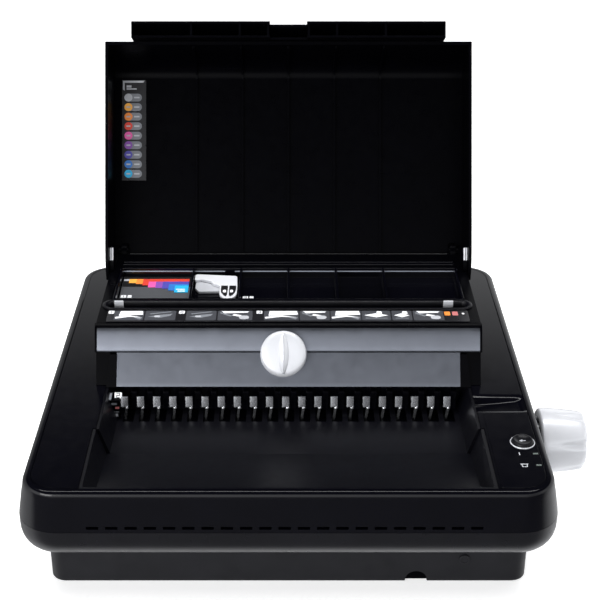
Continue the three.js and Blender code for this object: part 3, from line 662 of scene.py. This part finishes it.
def hinge_bars():
    """Bright half-round bars on the front end of each hinge leaf, and a plate that closes the lid's ear."""
    web = [(5, 0), (5, -41), (14, -41), (24, -36), (29, -28), (29, -10), (14, 0)]
    for name, side in (("left", -1), ("right", 1)):
        node = f"hinge_leaf_{name}"
        leaf = new_piece(f"{node}_shape", frame["nodes"][node].data.copy())
        low, high = sorted((side * 168.35, side * 172.25))
        end = block("end", low, high, -1.8, 9.8, -41, -36, LID)
        join(leaf, end, prism("web", "x", web, low, high, LID))
        soften(leaf, 0.3)
        stand_for(leaf, node)
        inner, outer = sorted((side * 158.6, side * 166.6))
        cover = block(f"ear_cover_{name}", inner, outer, -9.6, 9.6, 8.1, 9.3, LID)
        trim(cover, "lid", MATERIALS["black_matt"])
        along = Matrix.Rotation(math.radians(-90), 4, "X")
        bars = []
        for middle, radius in ((171.55, 0.7), (169.6, 1.15)):
            place = LID @ Matrix.Translation((side * middle, 4, -41)) @ along
            bars.append(prism("bar", "z", circle(radius, 20), -6, 6, place))
        trim(shade(merged(f"hinge_bars_{name}", bars)), "lid", MATERIALS["silver"])


def cell_ribs():
    """Fine ribs on the floor of the fifth storage cell."""
    ribs = [block("rib", 48.4, 88.6, y, y + 0.5, 149.9, 150.4) for y in (33 + 2 * i for i in range(30))]
    return trim(merged("cell_ribs", ribs), "base", MATERIALS["black_satin"])


def flat_marks(name, shapes, low, thickness, body, ink, place=HERE):
    """Thin printed shapes: a list of outlines on one level."""
    marks = [prism("mark", "z", outline, low, low + thickness, place) for outline in shapes]
    return trim(merged(name, marks), body, INK[ink])


def digit(number, x, y, size):
    """Strokes of a plain digit 1, 2 or 3, centred at x, y."""
    w = size * 0.32
    h = size * 0.5
    t = size * 0.13
    bars = {
        "top": rectangle(x - w, x + w, y + h - t, y + h),
        "middle": rectangle(x - w, x + w, y - t / 2, y + t / 2),
        "bottom": rectangle(x - w, x + w, y - h, y - h + t),
        "upper_right": rectangle(x + w - t, x + w, y, y + h),
        "lower_right": rectangle(x + w - t, x + w, y - h, y),
        "lower_left": rectangle(x - w, x - w + t, y - h, y),
        "stem": rectangle(x - t / 2, x + t / 2, y - h, y + h),
    }
    used = {
        1: ["stem"],
        2: ["top", "upper_right", "middle", "lower_left", "bottom"],
        3: ["top", "upper_right", "middle", "lower_right", "bottom"],
    }[number]
    return [bars[name] for name in used]


def instruction_strip():
    """The strip along the top, with ten small generic pictures of sheets and combs, and three patches."""
    strip = prism("instruction_strip_shape", "z", plan(-163, 162, -15.6, 5, 1.2, 4), 160.3, STRIP_TOP)
    soften(strip, 0.15, 2, 40)
    stand_for(strip, "instruction_strip")

    cells = [
        (-156.6, -130.2), (-129, -101.4), (-92, -64.9), (-63.6, -32.4), (-22, 9.2), (10, 37.1), (37.9, 65.2),
        (66, 91.8), (93, 111), (112.2, 139.6),
    ]
    frames, sheets, strokes, discs = [], [], [], []
    for i, (left, right) in enumerate(cells):
        frames.append(plan(left, right, -14, 4.4, 1.4, 4))
        wide = right - left
        middle = (left + right) / 2
        if i in (0, 4, 6):
            sheets.append([(left + 5, 3.6), (right - 1.5, 3.6), (right - 0.6, -3.4), (left + 4, -5.4)])
            sheets.append([(left + 0.8, -8), (left + wide * 0.45, -4.4), (right - 1, -8.6),
                           (left + wide * 0.5, -7.4), (left + 1.4, -11)])
            strokes.append([(right - 9, -6.2), (right - 1, -9.4), (right - 3, -12.6), (right - 8, -9)])
        elif i in (1, 2):
            strokes.append([(left + 4, -1), (right - 4, 3.2), (right - 5, 1.6), (left + 5, -2.6)])
            strokes.append([(left + 3, -7), (middle, -3.4), (right - 3, -1.6), (right - 5, -5.6),
                            (middle, -9.2)])
            discs.append(plan(left + wide * 0.3, left + wide * 0.5, -8.4, -5, 1.6, 5))
        elif i in (3, 5, 9):
            sheets.append([(left + 3, 3.4), (right - 3, 3), (right - 4.5, 0.6), (left + 6, -0.8)])
            strokes.append([(left + 2, 1.5), (left + wide * 0.42, -5), (left + wide * 0.38, -7),
                            (left + 2, -0.6)])
            discs.append(plan(right - 12, right - 3, -12, -5.2, 3.2, 6))
            sheets.append([(middle - 1, -2), (middle + 6, -4.6), (middle + 4, -7), (middle - 2.6, -5)])
        else:
            sheets.append([(left + 2, -4.4), (middle, -0.6), (right - 2, -4.8), (middle, -8.4)])
            sheets.append([(middle + 1, 3.2), (middle + 5, 3.2), (middle + 5.6, -1.6), (middle, -1.6)])
            strokes.append(rectangle(left + 3, right - 3, -10.6, -9.4))
    flat_marks("strip_cells", frames, STRIP_TOP, INK_DEPTH, "base", "dim")
    flat_marks("strip_strokes", strokes, STRIP_TOP + 0.05, INK_DEPTH, "base", "mid")
    flat_marks("strip_sheets", sheets, STRIP_TOP + 0.1, INK_DEPTH, "base", "white")
    flat_marks("strip_discs", discs, STRIP_TOP + 0.15, INK_DEPTH, "base", "pale")
    patches = ((140.6, 145.8, "orange"), (147.6, 152.8, "rose"), (154.4, 159.6, "black"))
    for i, (left, right, ink) in enumerate(patches):
        patch = plan(left, right, -4.6, 2.8, 0.8, 4)
        flat_marks(f"strip_patch_{i + 1}", [patch], STRIP_TOP, 0.06, "base", ink)
    dot = plan(156.4, 158.6, -2.6, 0.2, 1, 5)
    flat_marks("strip_patch_dot", [dot], STRIP_TOP + 0.06, INK_DEPTH, "base", "white")


def number_plates():
    """White step squares 1, 2 and 3: on the strip, in two storage cells and beside the first hook."""
    plates, numbers = [], []
    places = [
        (1, -159.9, 1.4, STRIP_TOP), (2, -96.2, 1.4, STRIP_TOP), (3, -26.2, 1.4, STRIP_TOP),
        (1, -155.4, 52, 151.3), (3, -40.6, 52, 150.02),
    ]
    for number, x, y, z in places:
        plates.append(prism("mark", "z", plan(x - 2.6, x + 2.6, y - 2.7, y + 2.7, 0.7, 4), z, z + 0.15))
        numbers += [prism("mark", "z", stroke, z + 0.15, z + 0.2) for stroke in digit(number, x, y, 3.8)]
    for x, z in ((-149.6, 151.3), (-34.8, 150.02)):
        plates.append(prism("mark", "z", plan(x - 1.9, x + 1.9, 49.3, 54.7, 0.7, 4), z, z + 0.15))
    by_hook = Matrix.Translation((-151, -52, 105.6)) @ Matrix.Rotation(math.radians(50), 4, "X")
    plates.append(prism("mark", "z", plan(-3.2, 3.2, -2.7, 2.7, 0.5, 4), -1.2, 0.15, by_hook))
    numbers += [prism("mark", "z", stroke, 0.15, 0.2, by_hook) for stroke in digit(2, 0, 0, 4.6)]
    trim(merged("step_plates", plates), "base", INK["white"])
    trim(merged("step_numbers", numbers), "base", INK["black"])


def size_chart():
    """A card in the first cell with a black field, nine coloured bars and two plain strokes for words."""
    plate = block("size_chart_shape", -159.2, -93.2, 32.5, 94.5, 150.3, 151.3)
    soften(plate, 0.2, 2, 40)
    stand_for(plate, "size_chart")
    flat_marks("chart_field", [rectangle(-158.9, -93.5, 72.4, 94.2)], 151.3, 0.04, "base", "black")
    bars = [
        ("pale", -158.6, 89, 85), ("amber", -153.4, 89, 80.6), ("orange", -146.4, 89, 78.3),
        ("red", -140, 89, 75.4), ("pink", -134.2, 83.2, 70.9), ("purple", -127.2, 83.2, 69.5),
        ("indigo", -120.6, 83.2, 68), ("blue", -114.4, 77.4, 64), ("cyan", -108.4, 74.5, 59.7),
    ]
    for i, (ink, start, top, bottom) in enumerate(bars):
        bar = rectangle(start, -95.4, bottom, top)
        flat_marks(f"chart_bar_{i + 1}", [bar], 151.34 + 0.04 * i, 0.04, "base", ink)
    words = [rectangle(-107, -98.6, 65.6, 67.2), rectangle(-105.4, -98.2, 61.6, 63.6)]
    flat_marks("chart_words", words, 151.7, 0.04, "base", "white")


def edge_guide_tool():
    """The tool in the second cell: a plate with a round bowl, a paler flap under it and two slots. The flap
    is flat; its grey is painted shade for the tool's sloped lower face, which lies in shade.
    """
    centre = -56.7
    turns = [math.radians(degrees) for degrees in range(0, 181, 15)]
    bowl = [(centre + 8.3 * math.cos(turn), 52 - 13.8 * math.sin(turn)) for turn in turns]
    upper = [(-88, 90.6), (-51, 87), (-49.2, 85.5), (-48.4, 66)] + bowl + [
        (-65, 65), (-67, 67.8), (-70.6, 69.4), (-72.2, 72), (-73.6, 75.4), (-79.8, 78.4), (-83.6, 79.6),
        (-88.8, 77.6), (-89.9, 79), (-89.9, 88.6),
    ]
    plate = prism("edge_guide_tool_shape", "z", upper, 153, 156)
    soften(plate, 0.6, 3, 40)
    stand_for(plate, "edge_guide_tool")
    lower = [(-88.6, 82), (-64, 72), (-64.5, 60), (-85, 59.6), (-88.6, 66)]
    # The flat flap's grey is painted shade for the tool's shaded sloped lower face.
    flap = prism("edge_guide_flap_painted_shade", "z", lower, 150.3, 153.05)
    soften(flap, 0.6, 3, 40)
    trim(flap, "base", INK["pale"])
    half_slot = [(0.7, 65.6), (0.5, 56), (0.9, 46), (1.9, 42.8), (4.3, 45.4), (6.5, 51), (7.2, 58), (7, 65.6)]
    slots = [[(centre + side * x, y) for x, y in half_slot] for side in (-1, 1)]
    flat_marks("edge_guide_slots", slots, 155.96, 0.12, "base", "black")
    dots = [plan(x - 1.4, x + 1.4, 51, 56.6, 1.35, 6) for x in (-60.2, -53.6)]
    flat_marks("edge_guide_dots", dots, 156.08, 0.1, "base", "white")


def hooks():
    """Each hook has a creased head leaning back, a round knuckle under it and a thin leg to the plate."""
    heads, knuckles, legs = [], [], []
    turns = [math.radians(degrees) for degrees in range(4, 180, 15)]
    ball = [(1.75 * math.sin(turn), -1.75 * math.cos(turn)) for turn in turns]
    for i in range(COMB_TEETH):
        x = FIRST_HOOK + COMB_PITCH * i
        low = [(x - 3.1, -52.9, 96.2), (x + 3, -52.9, 96.2), (x + 3, -55, 96.2), (x + 0.2, -55.9, 96.2),
               (x - 3.1, -56.2, 96.2)]
        high = [(x - 3.1, -52.9, 105.2), (x + 3, -52.9, 105.2), (x + 3, -54.6, 105.2),
                (x + 0.2, -53.7, 105.2), (x - 3.1, -53.4, 105.2)]
        heads.append(loft("head", [low, high]))
        knuckles.append(turned("knuckle", ball, Matrix.Translation((x + 1.5, -55, 94.8)), 20))
        legs.append(loft("leg", [
            [(x - 1.1, -52.8, 79), (x + 1.1, -52.8, 79), (x + 1.1, -53.8, 79), (x - 1.1, -53.8, 79)],
            [(x - 1.1, -52.8, 83), (x + 1.1, -52.8, 83), (x + 1.1, -54, 83), (x - 1.1, -54, 83)],
            [(x + 0.5, -52.8, 96.5), (x + 2.7, -52.8, 96.5), (x + 2.7, -55.3, 96.5), (x + 0.5, -55.3, 96.5)],
        ]))
    plate = block("hook_plate_shape", -180, 180, -56, -32, 77.5, 80)
    join(plate, merged("legs", legs), merged("heads", heads), merged("knuckles", knuckles))
    stand_for(shade(plate, 24), "hook_plate")
    cover = block("carriage_cover", -152, 152, -56.2, -31.8, 79.9, 80.5)
    trim(cover, "hook_carriage", MATERIALS["black_matt"])


def first_position():
    """A low block left of the first hook with a pale pad and a tiny length scale on its front."""
    step = block("end_block", -160.2, -149.2, -58, -44, 86, 104)
    soften(step, 0.6, 3, 40)
    trim(step, "base", MATERIALS["black_matt"])
    pad = block("end_pad", -164.2, -156.6, -58.2, -46.8, 104, 105.4)
    soften(pad, 0.5, 3, 40)
    trim(pad, "base", INK["mid"])
    on_front = facing_front(0, -58, 0)
    marks = [
        (-156.6, -151.8, 99.6, 101.4, "mid"), (-153.4, -149.8, 95.4, 97.6, "rose"),
        (-155.6, -150.2, 91.8, 92.8, "mid"), (-158, -151.4, 87.6, 90.4, "pale"),
    ]
    for i, (left, right, low, high, ink) in enumerate(marks):
        mark = rectangle(left, right, low, high)
        flat_marks(f"end_scale_{i + 1}", [mark], 0, 0.1, "base", ink, on_front)


# ---------------------------------------------------------------- lid
def lid_lip():
    """The grip along the lid's front edge: a curved bar, open below in cells, with a finger notch."""
    half = 148.5
    side = [
        (214.9, -66), (213.6, -56), (211.5, -48), (208.8, -38), (205, -27), (201.4, -17.6), (197, -9),
        (193.2, -2.8), (189, 2.5), (185.4, 5.6), (181.5, 7.4), (180.9, 6.4), (185.4, 2.9), (189, -2.8),
        (193.4, -18), (196.6, -33), (199.4, -49.5), (199.4, -66),
    ]
    bar = prism("lid_lip_shape", "x", [(-ahead, up) for ahead, up in side], -half, half, LID)
    hollow = [(-201.4, -68), (-213, -68), (-209.4, -48), (-202.8, -28), (-198, -17), (-195.2, -17),
              (-198.6, -33), (-201.4, -49.5)]
    webs = [-half, -92, -46, -19.3, 19.3, 46, 92, half]
    cells = [prism("cell", "x", hollow, left + 1, right - 1, LID) for left, right in zip(webs, webs[1:])]
    cut(bar, merged("cells", cells), block("notch", -17.5, 17.5, -220, -190, -68, -57, LID))
    soften(bar, 0.35, 2, 40)
    return stand_for(bar, "lid_lip")


def lid_label():
    """A film on the lid's inside with a bracket, nine coloured discs and plain strokes for words."""
    film = block("lid_label_shape", -166, -142, -171, -71, LABEL_FACE, 4.7, LID)
    soften(film, 0.1, 2, 40)
    stand_for(film, "lid_label")
    level = LABEL_FACE - 0.1
    bracket = [
        [(-165, -170.4), (-143.4, -170.4), (-144.8, -168.4), (-163.4, -168.4), (-163.4, -160.4),
         (-165, -161.8)],
        rectangle(-161.4, -156.6, -165.8, -163.6),
        rectangle(-161.4, -151.4, -162.8, -161.6),
    ]
    flat_marks("label_bracket", bracket, level, 0.1, "lid", "pale", LID)
    inks = ["pale", "amber", "orange", "red", "pink", "purple", "indigo", "blue", "cyan"]
    pills, words = [], []
    for i, ink in enumerate(inks):
        y = -153.6 + 9.5 * i
        pills.append(plan(-163.5, -146.2, y - 3.9, y + 3.9, 3.85, 8))
        words.append(rectangle(-161.6, -157.6, y - 0.7, y + 0.7))
        words.append(rectangle(-154, -148.6, y - 0.7, y + 0.7))
        flat_marks(f"label_disc_{i + 1}", [circle(4.0, 32, -159.6, y)], level - 0.06, 0.06, "lid", ink, LID)
    flat_marks("label_pills", pills, level, 0.1, "lid", "mid", LID)
    flat_marks("label_words", words, level - 0.1, 0.1, "lid", "pale", LID)


# ---------------------------------------------------------------- build
def finish_cad_nodes():
    """Every CAD node takes the procedural finish of its slot, whether it stays in view or not."""
    for name, node in frame["nodes"].items():
        for holder in node.material_slots:
            holder.material = MATERIALS[SLOT_OF[name]]


finish_cad_nodes()
casing_rim()
deck_plate()
lower_casing()
base_pan()
control_panel()
panel_icons()
hood_lip()
hood_panel()
depth_knob()
opener_knob()
throat_rim()
rear_ridges()
cell_edge_highlights()
hinge_bars()
cell_ribs()
instruction_strip()
number_plates()
size_chart()
edge_guide_tool()
hooks()
first_position()
lid_lip()
lid_label()

refine("rear_cover", 1.2, 3)
refine("binding_table", 0.8, 3)
refine("comb_fingers", 0.5)
refine("punch_housing", 1.3, 4)
refine("slot_pad_left", 0.35, 3)
refine("slot_pad_right", 0.35, 3)
refine("storage_tray", 0.5, 3)
refine("knob_collar", 0.4)
refine("lid_shell", 0.6, 3)
refine("light_guide", 0.3)
refine("power_inlet", 0.5)
refine("rocker_switch", 0.5)
refine("chip_tray", 0.8)
for number in range(1, 5):
    refine(f"foot_{number}", 0.6)
refine("foot_centre", 0.6)


# ---------------------------------------------------------------- stage, light and camera
def floor():
    mesh = bpy.data.meshes.new("floor")
    half = 8
    corners = [(x, y, 0) for x, y in rectangle(-half, half, -half, half)]
    mesh.from_pydata(corners, [], [(0, 1, 2, 3)])
    ground = new_piece("floor", mesh)
    ground.visible_glossy = False
    paint(ground, material("floor_white", (0.92, 0.92, 0.92), 0.7, grain=40, depth=0.0, variation=0.01,
                           smudge=0.02, glow=0.60))


def area_light(name, place, aim, width, height, power, in_gloss=True):
    lamp = bpy.data.lights.new(name, "AREA")
    lamp.shape = "RECTANGLE"
    lamp.size = width
    lamp.size_y = height
    lamp.energy = power
    holder = bpy.data.objects.new(name, lamp)
    holder.location = place
    holder.visible_glossy = in_gloss
    holder.rotation_euler = (Vector(aim) - Vector(place)).to_track_quat("-Z", "Y").to_euler()
    bpy.context.scene.collection.objects.link(holder)


def share_of(tree, value, start, end):
    """0 at the start value rising to 1 at the end value."""
    ramp = tree.nodes.new("ShaderNodeMapRange")
    ramp.inputs["From Min"].default_value = start
    ramp.inputs["From Max"].default_value = end
    tree.links.new(value, ramp.inputs["Value"])
    return ramp.outputs["Result"]


def multiplied(tree, first, second):
    product = tree.nodes.new("ShaderNodeMath")
    product.operation = "MULTIPLY"
    tree.links.new(first, product.inputs[0])
    tree.links.new(second, product.inputs[1])
    return product.outputs["Value"]


def sky():
    """A studio surround: pale round the horizon and brightest in front, dark overhead and dark below."""
    world = bpy.data.worlds.new("studio")
    world.use_nodes = True
    tree = world.node_tree
    background = tree.nodes["Background"]
    place = tree.nodes.new("ShaderNodeTexCoord")
    parts = tree.nodes.new("ShaderNodeSeparateXYZ")
    fade = tree.nodes.new("ShaderNodeMapRange")
    fade.interpolation_type = "SMOOTHSTEP"
    fade.inputs["From Min"].default_value = 0.39
    fade.inputs["From Max"].default_value = 0.53
    fade.inputs["To Min"].default_value = 2.5
    fade.inputs["To Max"].default_value = 0.02
    below = share_of(tree, parts.outputs["Z"], -0.02, -0.14)
    in_front = share_of(tree, parts.outputs["Y"], 0.05, -0.35)
    shade_low = multiplied(tree, below, in_front)
    kept = share_of(tree, shade_low, 1.14, 0.0)
    diagonal = share_of(tree, multiplied(tree, parts.outputs["X"], parts.outputs["Y"]), -0.9, 0.1)
    facing = share_of(tree, in_front, -1.2, 1.0)
    behind_low = multiplied(tree, below, share_of(tree, parts.outputs["Y"], 0.45, 0.9))
    dimmed = multiplied(tree, facing, share_of(tree, behind_low, 1.4, 0.0))
    height = multiplied(tree, fade.outputs["Result"], kept)
    strength = multiplied(tree, height, multiplied(tree, diagonal, dimmed))
    tree.links.new(place.outputs["Generated"], parts.inputs["Vector"])
    tree.links.new(parts.outputs["Z"], fade.inputs["Value"])
    tree.links.new(strength, background.inputs["Strength"])
    background.inputs["Color"].default_value = (0.97, 0.98, 1.0, 1)
    bpy.context.scene.world = world


def camera():
    lens = bpy.data.cameras.new("camera")
    lens.lens = 78.66
    lens.sensor_width = 36
    lens.shift_x = 0.0192
    lens.clip_end = 50
    holder = bpy.data.objects.new("camera", lens)
    holder.location = (0, -1.049, 0.7086)
    holder.rotation_euler = (math.radians(63), 0, 0)
    bpy.context.scene.collection.objects.link(holder)
    bpy.context.scene.camera = holder


floor()
area_light("overhead", (0.0, 0.1, 2.0), aim=(0, 0, 0), width=2.6, height=2.0, power=46, in_gloss=False)
area_light("overhead_strip", (0.0, 0.3, 2.0), aim=(0, 0, 0), width=2.4, height=0.3, power=26)
area_light("front_left", (-1.5, -2.3, 0.75), aim=(0, 0, 0.15), width=1.5, height=0.7, power=34)
sky()
camera()
bpy.context.scene.view_settings.view_transform = "Standard"
